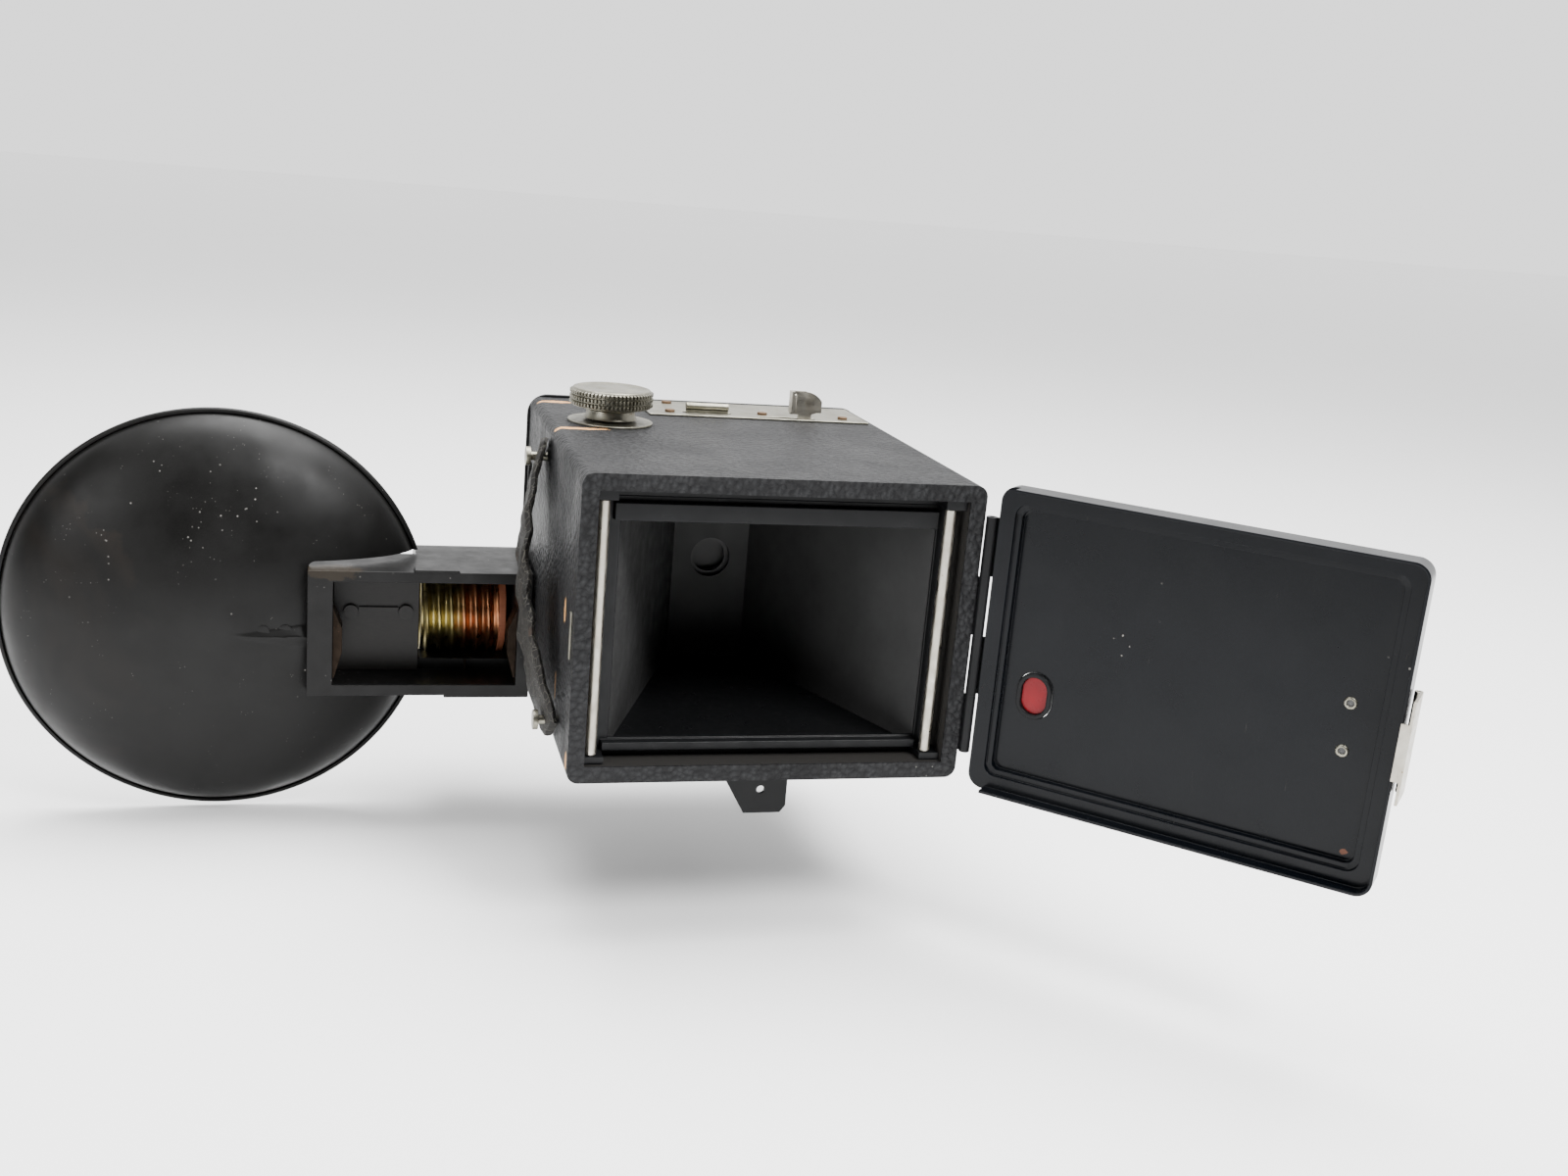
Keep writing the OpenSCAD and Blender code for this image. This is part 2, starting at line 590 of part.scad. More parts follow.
module door_hinge_leaf() color([0.08, 0.08, 0.08]) opened() {
    knuckles([1, 3], pin_r + fit_gap);
    for (i = [1, 3]) difference() {
        // strap from the knuckle to the door's edge
        box([door_right, hinge_y - knuckle_r, door_dz + knuckle_z[i] - knuckle_l + 0.15],
            [hinge_x, hinge_y - knuckle_r + leaf_t, door_dz + knuckle_z[i] + knuckle_l - 0.15]);
        bar_z([hinge_x, hinge_y], pin_r + 0.5, body_bot - 1, body_top + 1);
    }
}
module hinge_pin() color("silver")
    bar_z([hinge_x, hinge_y], pin_r, door_dz + knuckle_z[0] - knuckle_l, door_dz + knuckle_z[3] + knuckle_l);

// Latch: a folded plate that turns on a pin at the door's free edge and hooks over the body
module latch_rivets() color("silver") opened() for (z = rivet_zs()) {
    difference() {
        union() {
            bar_y([latch_rivet_x(), z], 1.2, door_back_y - 0.5, door_back_y + door_t + 0.5);
            bar_y([latch_rivet_x(), z], 2.2, door_back_y + door_t, door_back_y + door_t + 0.5);
            bar_y([latch_rivet_x(), z], 2.2, door_back_y - 0.5, door_back_y);
        }
        bar_y([latch_rivet_x(), z], 0.7, door_back_y - 2, door_back_y + 3);
    }
}
module door_latch() color([0.75, 0.74, 0.68]) opened() {
    difference() {
        union() {
            bar_z([latch_pin_x, latch_pin_y], 1, latch_z - latch_l / 2, latch_z + latch_l / 2);
            box([latch_pin_x - 1, latch_pin_y, latch_z - latch_l / 2],
                [latch_pin_x - 1 + latch_t, rim_y + 7.5, latch_z + latch_l / 2]);
            // hooked end
            box([latch_pin_x - 1, rim_y + 6.8, latch_z - 7], [body_l - 0.9, rim_y + 7.5, latch_z + 7]);
        }
        bar_z([latch_pin_x, latch_pin_y], 0.5, latch_z - latch_l, latch_z + latch_l);
    }
}
module latch_catch() color([0.6, 0.6, 0.55]) {
    box([body_l - 0.4, rim_y + 4.4, latch_z - 6], [body_l, rim_y + 6.2, latch_z + 6]);
}

// ---------- strap and foot ----------
// Bowed band: height above the wall along the strap's run s from -1 to 1
function bow(s) = strap_bow * (1 - s * s);
module strap() color([0.3, 0.27, 0.22]) difference() {
    strap_band();
    for (s = [-1, 1]) bar_x(stud_yz(s), stud_shank_r + clear, body_l - 8, body_l + 1);
}
module strap_band()
    translate([body_l - clear, strap_at[0], strap_at[1]]) rotate([-strap_tilt, 0, 0])
        rotate([90, 0, 0]) translate([0, 0, -strap_w / 2]) linear_extrude(strap_w) polygon(concat(
            [for (i = [-strap_n : strap_n]) let (s = i / strap_n) [-bow(s), s * strap_half]],
            [for (i = [strap_n : -1 : -strap_n]) let (s = i / strap_n) [-bow(s) - strap_t, s * strap_half]]));
function stud_yz(s) = [strap_at[0] + s * sin(strap_tilt) * (strap_half - 3.2),
                       strap_at[1] + s * cos(strap_tilt) * (strap_half - 3.2)];
module strap_studs() color("silver") for (s = [-1, 1]) {
    bar_x(stud_yz(s), stud_shank_r, body_l - 4.7, body_l);
    bar_x(stud_yz(s), stud_r, body_l - 6, body_l - 4.7);
}

module foot_bracket() color([0.08, 0.08, 0.08]) difference() {
    union() {
        box([foot_x - foot_w / 2 - 2, foot_y - 1.2, body_bot - 0.7], [foot_x + foot_w / 2 + 2, foot_y + 6, body_bot]);
        for (s = [-1, 1]) bar_x([foot_y, body_bot - 1.3], 1.2, foot_x + s * (foot_w / 2 + 1) - 0.85,
                                foot_x + s * (foot_w / 2 + 1) + 0.85);
    }
    bar_x([foot_y, body_bot - 1.3], 0.65, foot_x - foot_w, foot_x + foot_w);
}
module stand_foot() color([0.1, 0.1, 0.1]) {
    difference() {
        translate([0, foot_y, body_bot - 1.3]) along_y(-foot_t / 2, foot_t / 2) polygon([
            [foot_x - foot_w / 2, 0], [foot_x + foot_w / 2, 0], [foot_x + foot_w / 2, -foot_l + 2],
            [foot_x + foot_w / 2 - 1.5, -foot_l], [foot_x - foot_w / 2 + 6, -foot_l],
            [foot_x - foot_w / 2, -3]]);
        bar_y([foot_x + 1.5, body_bot - 8], 1.1, foot_y - 2, foot_y + 2);
    }
    bar_x([foot_y, body_bot - 1.3], 0.6, foot_x - foot_w / 2 - 1.8, foot_x + foot_w / 2 + 1.8);
}

// ---------- flash contacts in the camera ----------
module contact_bushes() color("goldenrod") for (y = prong_y) difference() {
    bar_x([y, gun_z], 3 - 0.02, body_l, bush_end);
    bar_x([y, gun_z], prong_r + fit_gap, body_l - 1, body_l + prong_in + clear);
}
module sync_strips() color("goldenrod") for (y = prong_y)
    box([bush_end, y - 1.8, gun_z - 2.5], [bush_end + 0.4, y + 1.8, gun_z + 14]);

// ---------- flash gun ----------
module gun_shape() {
    // battery end, with a trough for the bulb
    difference() {
        box([gun_x0, gun_back, gun_lo], [barrel_x0 + 1, trough_y, gun_hi]);
        bar_x([axis_y, gun_z], bulb_r, gun_x0 - 1, barrel_x0 + 2);
    }
    // socket barrel with its round front
    box([barrel_x0, gun_back, gun_lo], [gun_x1, axis_y, gun_hi]);
    bar_x([axis_y, gun_z], barrel_r, barrel_x0, gun_x1);
    // lug for the battery cover on the top edge and lip below
    box([barrel_x0 - 1.2, gun_back - 0.6, gun_hi], [barrel_x0 + 11.4, gun_back + 4, gun_hi + 0.8]);
    box([barrel_x0 + 8, gun_back, gun_lo - 0.7], [gun_x1, gun_back + 3, gun_lo]);
}
module gun_housing() color([0.09, 0.08, 0.08]) difference() {
    gun_shape();
    // battery compartment, open at the back
    box([cell_x0, gun_back - 2, gun_lo + gun_wall], [cell_x1, cell_y1, gun_hi - gun_wall]);
    // bore for the socket, open to the compartment
    bar_x([axis_y, gun_z], shell_r + 0.3, barrel_x0 - 1, cell_x1);
    box([shell_x0 - 0.6, gun_back, gun_z - shell_r + 2], [cell_x1, axis_y, gun_z + shell_r - 2]);
    for (y = prong_y) bar_x([y, gun_z], prong_r, cell_x1 - 1, gun_x1 + 1);
}
module cell_plate() color([0.12, 0.1, 0.09]) difference() {
    box([cell_x0 + 0.1, cell_y1 - cell_plate_t, gun_lo + gun_wall + 0.1],
        [shell_x0 - 0.8, cell_y1, gun_hi - gun_wall - 0.1]);
    for (x = cell_rivet_x()) bar_y([x, gun_z + 3], 1.2, cell_y1 - 5, cell_y1 + 1);
}
function cell_rivet_x() = [cell_x0 + 5, shell_x0 - 4.6];
module cell_rivets() color([0.16, 0.14, 0.13]) for (x = cell_rivet_x()) {
    bar_y([x, gun_z + 3], 1.2, cell_y1 - cell_plate_t, cell_y1);
    bar_y([x, gun_z + 3], rivet_r, cell_y1 - cell_plate_t - 1.2, cell_y1 - cell_plate_t);
}
module cell_bar() color([0.14, 0.12, 0.11])
    box([cell_rivet_x()[0] + rivet_r + 0.1, cell_y1 - cell_plate_t - 0.8, gun_z + 1.6],
        [cell_rivet_x()[1] - rivet_r - 0.1, cell_y1 - cell_plate_t, gun_z + 4.4]);

// Socket shell: rolled thread outside, plain bore at the lamp cap's radius
module socket_shell() color("goldenrod") difference() {
    translate([shell_x0, axis_y, gun_z]) rotate([0, 90, 0]) union() {
        cylinder(r = shell_r - 0.7, h = shell_l);
        for (i = [0 : thread_turns - 1]) translate([0, 0, 0.6 + (i + 0.5) * thread_pitch]) rotate_extrude()
            translate([shell_r - 0.9, 0]) circle(r = 0.9);
    }
    bar_x([axis_y, gun_z], shell_bore_r, shell_x0 - 1, shell_x1 + 1);
    bar_x([axis_y, gun_z], shell_base_r, shell_x1 - shell_base_l, shell_x1 + 1);
}
module socket_insulator() color([0.35, 0.2, 0.12]) difference() {
    bar_x([axis_y, gun_z], shell_r, shell_x1, shell_x1 + insul_t);
    bar_x([axis_y, gun_z], contact_r + fit_gap, shell_x1 - 1, shell_x1 + insul_t + 1);
}
module centre_contact() color("goldenrod") {
    bar_x([axis_y, gun_z], contact_head_r, shell_x1 - contact_stand, shell_x1 - contact_travel - 0.4);
    bar_x([axis_y, gun_z], contact_r, shell_x1 - 2, shell_x1 + insul_t + 0.4);
}
// A leaf contact, bent twice, standing off an end wall
module leaf_contact(x, dir) along_y(gun_back + 2, gun_back + 9) polygon([
    [x, gun_lo + gun_wall + 1.5], [x, gun_hi - gun_wall - 8], [x + dir * 2.6, gun_z + 1],
    [x + dir * 2.6, gun_z - 6], [x + dir * 0.5, gun_lo + gun_wall + 1.5]]);
module battery_contacts() color([0.45, 0.35, 0.26]) {
    leaf_contact(cell_x0, 1);
    leaf_contact(cell_x1, -1);
}
module lead_wire() color("peru")
    bar_z([wire_x, cell_y1 - 1], 0.3, gun_lo + gun_wall, gun_z - shell_r + 2.2);
module contact_prongs() color("goldenrod") for (y = prong_y)
    bar_x([y, gun_z], prong_r, cell_x1, body_l + prong_in);

// ---------- reflector ----------
module notch() along_y(bowl_vertex_y - 4, bowl_vertex_y + 2 * bowl_h) translate([notch_x, gun_z]) {
    translate([bowl_r, 0]) square([2 * bowl_r, gun_h + 2 * notch_gap], center = true);
}
module bowl() translate([bowl_x, 0, gun_z]) rotate([-90, 0, 0]) rotate_extrude() polygon(concat(
    [for (i = [0 : bowl_steps]) bowl_pt(i)],
    [for (i = [bowl_steps : -1 : 0]) bowl_pt(i) + [i == bowl_steps ? 0.01 : 0, bowl_t]]));
module bead() translate([bowl_x, bowl_y(bowl_r), gun_z]) rotate([-90, 0, 0]) rotate_extrude()
    translate([bowl_r + 0.2, 0]) circle(r = bead_r);
module reflector() color([0.13, 0.13, 0.13]) difference() {
    union() {
        bowl();
        bead();
    }
    notch();
    for (x = rib_rivet_x()) bar_y([x, gun_z], 1, bowl_vertex_y - 4, bowl_vertex_y + 9);
}
function rib_rivet_x() = [gun_x0 - 6, gun_x0 - 12];
// Bracket inside the bowl, from the housing's end wall along the bowl's floor
module reflector_bracket() color("silver") difference() {
    union() {
        along_z(gun_z - 4, gun_z + 4) polygon(concat(
            [for (i = [0 : 4]) let (r = 10 + i * 3.4) [bowl_x + r, bowl_y(r) + bowl_t + 0.25]],
            [for (i = [4 : -1 : 0]) let (r = 10 + i * 3.4) [bowl_x + r, bowl_y(r) + bowl_t + 1.05]]));
        box([gun_x0 - 1.8, bowl_y(24) + bowl_t + 0.3, gun_z - 4], [gun_x0, bowl_y(24) + bowl_t + 9, gun_z + 4]);
    }
    for (x = rib_rivet_x()) bar_y([x, gun_z], 1, bowl_vertex_y - 4, bowl_vertex_y + 9);
}
module bracket_rivets() color([0.3, 0.3, 0.3]) for (x = rib_rivet_x()) {
    bar_y([x, gun_z], 1, bowl_y(x - bowl_x) - 0.4, bowl_y(x - bowl_x) + bowl_t + 2);
    bar_y([x, gun_z], 1.8, bowl_y(x - bowl_x) - 1.1, bowl_y(x - bowl_x) - 0.4);
}

body_case();
body_covering();
front_plate();
lens_ring();
lens_barrel();
lens_glass();
finder_boxes();
finder_lenses();
finder_mirrors();
finder_screens();
mechanism_plate();
pivot_pins();
control_strip();
strip_screws();
knob_bush();
carrier_top_board();
carrier_bottom_board();
film_cone();
gate_frame();
spool_pins();
hinge_leaf();
hinge_pin();
latch_catch();
contact_bushes();
sync_strips();
strap();
strap_studs();
foot_bracket();
knob_sleeve();
winding_knob();
winding_key();
take_up_spool();
roller_left();
roller_right();
shutter_lever();
shutter_disc();
stop_slide();
stop_tab();
stand_foot();
back_door();
door_covering();
window_ring();
red_window();
door_hinge_leaf();
latch_rivets();
door_latch();
gun_housing();
cell_plate();
cell_bar();
cell_rivets();
reflector();
reflector_bracket();
bracket_rivets();
socket_shell();
socket_insulator();
centre_contact();
battery_contacts();
lead_wire();
contact_prongs();
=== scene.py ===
"""Looks of a roll-film box camera with a plug-in flash bulb gun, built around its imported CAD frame."""
import json
import math

import bmesh
import bpy
from mathutils import Matrix, Vector, noise


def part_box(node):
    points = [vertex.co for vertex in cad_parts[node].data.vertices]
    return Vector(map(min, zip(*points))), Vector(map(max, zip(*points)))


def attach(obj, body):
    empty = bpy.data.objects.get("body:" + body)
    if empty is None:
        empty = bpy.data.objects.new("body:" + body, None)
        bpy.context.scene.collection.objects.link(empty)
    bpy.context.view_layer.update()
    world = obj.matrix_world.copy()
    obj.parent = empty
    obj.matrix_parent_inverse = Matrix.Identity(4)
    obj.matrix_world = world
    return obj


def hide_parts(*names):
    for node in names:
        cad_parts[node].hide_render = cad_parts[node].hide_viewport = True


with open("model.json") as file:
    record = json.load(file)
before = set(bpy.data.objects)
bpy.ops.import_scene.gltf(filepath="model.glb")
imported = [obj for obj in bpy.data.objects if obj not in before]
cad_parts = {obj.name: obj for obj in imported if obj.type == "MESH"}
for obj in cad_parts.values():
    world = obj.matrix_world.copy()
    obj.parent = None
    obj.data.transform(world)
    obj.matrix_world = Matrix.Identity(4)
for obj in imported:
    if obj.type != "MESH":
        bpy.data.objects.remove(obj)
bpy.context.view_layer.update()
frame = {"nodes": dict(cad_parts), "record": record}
NODES = frame["nodes"]
MM = 0.001


def low(node):
    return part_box(node)[0] / MM


def high(node):
    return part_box(node)[1] / MM


# ---------------------------------------------------------------- places taken from the frame, in mm
BODY_LO, BODY_HI = low("body_covering"), high("body_covering")
KNOB_LO, KNOB_HI = low("winding_knob"), high("winding_knob")
KNOB_X = (KNOB_LO.x + KNOB_HI.x) / 2
KNOB_Y = (KNOB_LO.y + KNOB_HI.y) / 2
GUN_LO, GUN_HI = low("gun_housing"), high("gun_housing")
BOWL_LO, BOWL_HI = low("reflector"), high("reflector")
SHELL_LO, SHELL_HI = low("socket_shell"), high("socket_shell")
GUN_Z = (SHELL_LO.z + SHELL_HI.z) / 2
AXIS_Y = (SHELL_LO.y + SHELL_HI.y) / 2


# ---------------------------------------------------------------- mesh helpers
def collect(bm, name, slot, body, replaces=(), smooth=35):
    """Turns a bmesh in millimetres into a finished piece that rides on a body."""
    bmesh.ops.remove_doubles(bm, verts=bm.verts, dist=1e-4)
    bmesh.ops.recalc_face_normals(bm, faces=bm.faces)
    mesh = bpy.data.meshes.new(name)
    bm.transform(Matrix.Scale(MM, 4))
    bm.to_mesh(mesh)
    bm.free()
    mesh.polygons.foreach_set("use_smooth", [True] * len(mesh.polygons))
    mesh.set_sharp_from_angle(angle=math.radians(smooth))
    piece = bpy.data.objects.new(name, mesh)
    bpy.context.scene.collection.objects.link(piece)
    mesh.materials.append(MATERIALS[slot])
    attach(piece, body)
    if replaces:
        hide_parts(*replaces)
    return piece


def slot_of(node):
    for row in frame["record"]["subparts"]:
        if row["node"] == node:
            return row["material_slot"]
    return None


def body_of(node):
    for body, members in frame["record"]["behaviour"]["bodies"].items():
        if node in members:
            return body
    return None


HARD_EDGE = math.radians(40)    # edges sharper than this are rounded
FLAT = math.radians(0.8)        # faces flatter than this to each other are merged first
AREA_GUARD = 0.06               # a larger change of area means that a hole was closed or a face was lost


def bevelled(node, width, merge):
    """A node's mesh in millimetres with its hard edges rounded, and whether its area was kept."""
    bm = bmesh.new()
    bm.from_mesh(NODES[node].data)
    bm.transform(Matrix.Scale(1 / MM, 4))
    bmesh.ops.remove_doubles(bm, verts=bm.verts, dist=2e-3)
    before = sum(f.calc_area() for f in bm.faces)
    if merge:
        bmesh.ops.dissolve_limit(bm, angle_limit=FLAT, verts=bm.verts, edges=bm.edges)
    sharp = [e for e in bm.edges if len(e.link_faces) == 2 and e.calc_face_angle(0) > HARD_EDGE]
    bmesh.ops.bevel(bm, geom=sharp, offset=width, offset_type="OFFSET", segments=3, profile=0.5,
                    affect="EDGES", clamp_overlap=True)
    bmesh.ops.triangulate(bm, faces=[f for f in bm.faces if len(f.verts) > 4])
    kept = abs(sum(f.calc_area() for f in bm.faces) / before - 1) < AREA_GUARD
    return bm, kept


def eased(node, width, sink=0.0):
    """A copy of a CAD node with its hard edges rounded, as a pressed, moulded or worn piece has them."""
    for merge in (True, False):
        bm, kept = bevelled(node, width, merge)
        if kept:
            bm.transform(Matrix.Translation((0, sink, 0)))
            piece = collect(bm, node + "_look", slot_of(node), body_of(node), (node,))
            even = piece.modifiers.new("even", "WEIGHTED_NORMAL")
            even.keep_sharp = True
            return
        bm.free()
    print("left as packed:", node)


def revolve(profile, axis, centre, steps, closed=True):
    """A bmesh of a profile of (radius, height) points turned about an axis ('X', 'Y' or 'Z').

    A closed profile also joins its last point to its first.
    """
    bm = bmesh.new()
    rings = []
    for radius, height in profile:
        ring = []
        for i in range(steps):
            a = 2 * math.pi * i / steps
            c, s = radius * math.cos(a), radius * math.sin(a)
            point = {"X": (height, c, s), "Y": (c, height, s), "Z": (c, s, height)}[axis]
            ring.append(bm.verts.new(Vector(point) + Vector(centre)))
        rings.append(ring)
    pairs = list(zip(rings, rings[1:]))
    if closed:
        pairs.append((rings[-1], rings[0]))
    for a, b in pairs:
        for i in range(steps):
            j = (i + 1) % steps
            bm.faces.new((a[i], a[j], b[j], b[i]))
    return bm


# ---------------------------------------------------------------- shader helpers
class Shade:
    """A material with one Principled shader, and short calls for the nodes that feed it."""

    def __init__(self, name, colour, rough, metal=0.0, **sockets):
        self.mat = bpy.data.materials.new(name)
        self.mat.use_nodes = True
        self.tree = self.mat.node_tree
        self.shader = self.tree.nodes["Principled BSDF"]
        self.shader.inputs["Base Color"].default_value = (*colour, 1)
        self.shader.inputs["Roughness"].default_value = rough
        self.shader.inputs["Metallic"].default_value = metal
        for key, value in sockets.items():
            self.shader.inputs[key.replace("_", " ")].default_value = value
        self.coords = self.tree.nodes.new("ShaderNodeTexCoord").outputs["Object"]
        MATERIALS[name] = self.mat

    def link(self, a, b):
        self.tree.links.new(a, b)

    def stretched(self, x, y, z):
        node = self.tree.nodes.new("ShaderNodeMapping")
        node.inputs["Scale"].default_value = (x, y, z)
        self.link(self.coords, node.inputs["Vector"])
        return node.outputs["Vector"]

    def noise(self, scale, detail=4, rough=0.6, vector=None, distortion=0.0):
        node = self.tree.nodes.new("ShaderNodeTexNoise")
        node.inputs["Scale"].default_value = scale
        node.inputs["Detail"].default_value = detail
        node.inputs["Roughness"].default_value = rough
        node.inputs["Distortion"].default_value = distortion
        self.link(vector or self.coords, node.inputs["Vector"])
        return node.outputs["Fac"]

    def warped(self, scale, amount):
        """Coordinates pushed about by a noise, so cells don't look regular."""
        node = self.tree.nodes.new("ShaderNodeTexNoise")
        node.inputs["Scale"].default_value = scale * 0.6
        self.link(self.coords, node.inputs["Vector"])
        push = self.tree.nodes.new("ShaderNodeVectorMath")
        push.operation = "MULTIPLY_ADD"
        self.link(node.outputs["Color"], push.inputs[0])
        push.inputs[1].default_value = [amount / scale] * 3
        self.link(self.coords, push.inputs[2])
        return push.outputs["Vector"]

    def cells(self, scale, feature="F1", vector=None):
        node = self.tree.nodes.new("ShaderNodeTexVoronoi")
        node.feature = feature
        node.inputs["Scale"].default_value = scale
        self.link(vector or self.coords, node.inputs["Vector"])
        return node.outputs["Distance"]

    def ramp(self, fac, start, end, a=0.0, b=1.0):
        node = self.tree.nodes.new("ShaderNodeMapRange")
        node.inputs["From Min"].default_value = start
        node.inputs["From Max"].default_value = end
        node.inputs["To Min"].default_value = a
        node.inputs["To Max"].default_value = b
        self.link(fac, node.inputs["Value"])
        return node.outputs["Result"]

    def math(self, op, a, b):
        node = self.tree.nodes.new("ShaderNodeMath")
        node.operation = op
        for socket, value in zip(node.inputs, (a, b)):
            if isinstance(value, (int, float)):
                socket.default_value = value
            else:
                self.link(value, socket)
        return node.outputs["Value"]

    def mix(self, fac, a, b):
        node = self.tree.nodes.new("ShaderNodeMix")
        node.data_type = "RGBA"
        self.link(fac, node.inputs["Factor"])
        for socket, value in ((node.inputs[6], a), (node.inputs[7], b)):
            if isinstance(value, tuple):
                socket.default_value = (*value, 1)
            else:
                self.link(value, socket)
        return node.outputs[2]

    def colour(self, socket):
        self.link(socket, self.shader.inputs["Base Color"])

    def rough(self, socket):
        self.link(socket, self.shader.inputs["Roughness"])

    def bump(self, height, depth_mm, strength=1.0):
        node = self.tree.nodes.new("ShaderNodeBump")
        node.inputs["Strength"].default_value = strength
        node.inputs["Distance"].default_value = depth_mm * MM
        self.link(height, node.inputs["Height"])
        self.link(node.outputs["Normal"], self.shader.inputs["Normal"])

    def near(self, centre, radii, scale=600, wobble=0.5):
        """1 inside a ragged patch round a point (mm), 0 outside it."""
        offset = self.tree.nodes.new("ShaderNodeMapping")
        offset.inputs["Location"].default_value = [-c / r for c, r in zip(centre, radii)]
        offset.inputs["Scale"].default_value = [1 / (MM * r) for r in radii]
        self.link(self.coords, offset.inputs["Vector"])
        length = self.tree.nodes.new("ShaderNodeVectorMath")
        length.operation = "LENGTH"
        self.link(offset.outputs["Vector"], length.inputs[0])
        ragged = self.math("MULTIPLY", self.math("SUBTRACT", self.noise(scale, 3), 0.5), 2 * wobble)
        return self.ramp(self.math("ADD", length.outputs["Value"], ragged), 1.06, 0.94)

    def specks(self, scale, size, amount):
        """Small separate spots: 1 in a spot, 0 between."""
        spot = self.ramp(self.cells(scale), size, size * 0.6)
        where = self.ramp(self.noise(scale * 0.13, 2), 0.62 - amount, 0.66 - amount)
        return self.math("MULTIPLY", spot, where)


MATERIALS = {}


def leather_grain():
    s = Shade("leather_grain", (0.02, 0.0205, 0.022), 0.6, Specular_IOR_Level=0.16)
    pebbles = s.cells(650, vector=s.warped(650, 0.6))
    fine = s.noise(2600, 3)
    broad = s.noise(28, 3)
    height = s.math("SUBTRACT", s.math("MULTIPLY", fine, 0.22), pebbles)
    tone = s.mix(s.ramp(pebbles, 0.12, 0.62), (0.018, 0.0185, 0.0195), (0.006, 0.006, 0.0065))
    tone = s.mix(s.ramp(broad, 0.35, 0.7, 0, 0.2), tone, (0.03, 0.03, 0.032))
    tone = s.mix(s.specks(420, 0.1, 0.0), tone, (0.12, 0.12, 0.11))
    for centre, radii in WORN:
        edge = s.near(centre, [r * 1.25 for r in radii])
        core = s.near(centre, radii)
        tone = s.mix(edge, tone, (0.012, 0.012, 0.012))
        card = s.mix(s.noise(900, 3), (0.52, 0.24, 0.075), (0.62, 0.36, 0.16))
        tone = s.mix(core, tone, card)
    s.colour(tone)
    s.rough(s.ramp(s.noise(60, 3), 0.3, 0.7, 0.42, 0.6))
    s.bump(height, 0.6, 1.0)


def case_card():
    s = Shade("case_card", (0.014, 0.013, 0.012), 0.7, Specular_IOR_Level=0.3)
    fibre = s.noise(700, 5, vector=s.stretched(1, 4, 4))
    s.colour(s.mix(fibre, (0.01, 0.0095, 0.009), (0.02, 0.018, 0.016)))
    s.bump(fibre, 0.08)


def enamel(name, colour, rough, dust=0.5, rust=()):
    s = Shade(name, colour, rough, Specular_IOR_Level=0.14)
    broad = s.noise(22, 3)
    scratch = s.ramp(s.noise(90, 5, 0.7, s.stretched(1, 14, 1), 0.6), 0.68, 0.72)
    pits = s.specks(330, 0.11, 0.0)
    tone = s.mix(s.ramp(broad, 0.35, 0.75, 0, dust), colour, tuple(c * 1.6 + 0.001 for c in colour))
    tone = s.mix(s.math("MULTIPLY", scratch, 0.35), tone, (0.06, 0.055, 0.05))
    tone = s.mix(pits, tone, (0.22, 0.21, 0.19))
    for centre, radii in rust:
        tone = s.mix(s.near(centre, radii, 900), tone, (0.13, 0.05, 0.028))
    s.colour(tone)
    s.rough(s.math("ADD", s.ramp(s.noise(60, 4), 0.3, 0.7, rough - 0.05, rough + 0.08),
                   s.math("MULTIPLY", scratch, 0.2)))
    s.bump(s.noise(90, 3), 0.02, 0.4)


def reflector_paint():
    colour = (0.0035, 0.0034, 0.0033)
    s = Shade("reflector_paint", colour, 0.36, Specular_IOR_Level=0.16)
    broad = s.noise(16, 4, distortion=0.8)
    lower_left = s.near((BOWL_LO.x + 8, BOWL_LO.y + 12, -30), (34, 60, 46), 120)
    upper_middle = s.near((BOWL_LO.x + 45, BOWL_LO.y, 6), (30, 60, 30), 90)
    brown = s.math("MULTIPLY", s.ramp(broad, 0.45, 0.68), lower_left)
    dusty = s.math("MULTIPLY", s.specks(520, 0.16, 0.07), upper_middle)
    fibres = s.ramp(s.noise(160, 5, 0.75, s.stretched(6, 1, 1), 1.5), 0.71, 0.75)
    tone = s.mix(s.ramp(broad, 0.3, 0.75, 0, 0.6), colour, (0.007, 0.0068, 0.0064))
    tone = s.mix(s.math("MULTIPLY", brown, 0.6), tone, (0.014, 0.0105, 0.008))
    tone = s.mix(s.math("MULTIPLY", dusty, 0.7), tone, (0.16, 0.155, 0.145))
    tone = s.mix(s.math("MULTIPLY", fibres, 0.3), tone, (0.06, 0.056, 0.05))
    tone = s.mix(s.specks(900, 0.12, 0.04), tone, (0.1, 0.096, 0.09))
    tone = s.mix(s.specks(240, 0.07, 0.01), tone, (0.2, 0.19, 0.18))
    s.colour(tone)
    s.rough(s.ramp(s.noise(70, 5), 0.3, 0.72, 0.3, 0.5))
    s.bump(s.noise(130, 4), 0.03, 0.6)


def metal(name, colour, rough, dark, tarnish, spots=(0.16, 0.1, 0.05)):
    s = Shade(name, colour, rough, 1.0)
    broad = s.noise(140, 5, 0.7, distortion=0.6)
    tone = s.mix(s.ramp(broad, 0.4, 0.72, 0, tarnish), colour, dark)
    tone = s.mix(s.specks(700, 0.16, 0.03), tone, spots)
    s.colour(tone)
    s.rough(s.ramp(s.noise(420, 4), 0.3, 0.7, rough - 0.1, rough + 0.16))
    s.bump(s.noise(500, 3), 0.008, 0.5)


def lacquer(name, colour, rough):
    s = Shade(name, colour, rough, Specular_IOR_Level=0.14)
    s.colour(s.mix(s.noise(60, 4), colour, tuple(c * 1.7 for c in colour)))
    s.rough(s.ramp(s.noise(220, 4), 0.3, 0.7, rough - 0.08, rough + 0.1))
    s.bump(s.noise(700, 3), 0.03, 0.5)


